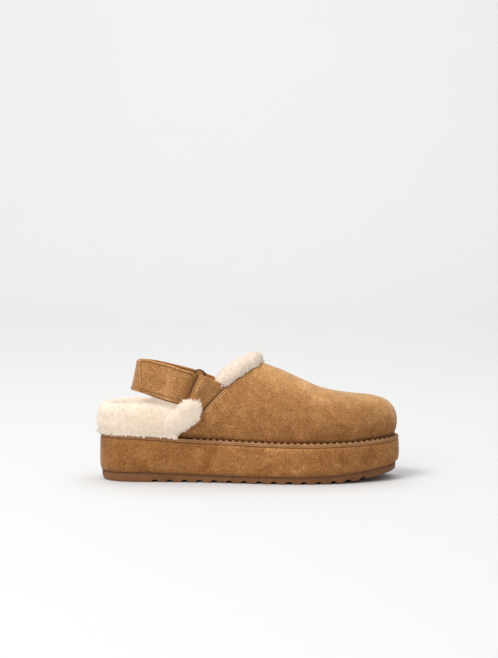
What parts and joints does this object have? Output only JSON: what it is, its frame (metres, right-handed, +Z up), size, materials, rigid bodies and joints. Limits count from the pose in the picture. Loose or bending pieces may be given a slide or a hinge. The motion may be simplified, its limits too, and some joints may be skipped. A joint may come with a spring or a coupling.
{
  "type": "clog slipper",
  "caption": "Slingback platform clog slipper: hollow suede upper lined with deep shearling, fur collar and heel rim, adjustable heel strap, wrapped platform and grooved outsole.",
  "frame": {"origin": "on the floor, under the middle of the shoe's bounding box", "axes": "+X to the toe, +Y to the medial (inner) side, +Z up"},
  "size_m": [0.268, 0.0982, 0.1087],
  "materials": {
    "suede": "napped, matt",
    "suede_wrap": "napped, matt",
    "shearling": "deep cream pile",
    "rubber": "satin",
    "welt_rubber": "satin",
    "dark_metal": "dark, polished",
    "tape": "hook-and-loop pile"
  },
  "bodies": {
    "root": {"outsole": "rubber", "midsole": "suede_wrap", "welt": "welt_rubber", "insole": "shearling", "upper": "suede", "heel_rim": "shearling", "collar_fur": "shearling", "strap_tab": "suede", "loop": "dark_metal", "heel_strap": "suede", "fastener_tape": "tape"}
  },
  "joints": []
}
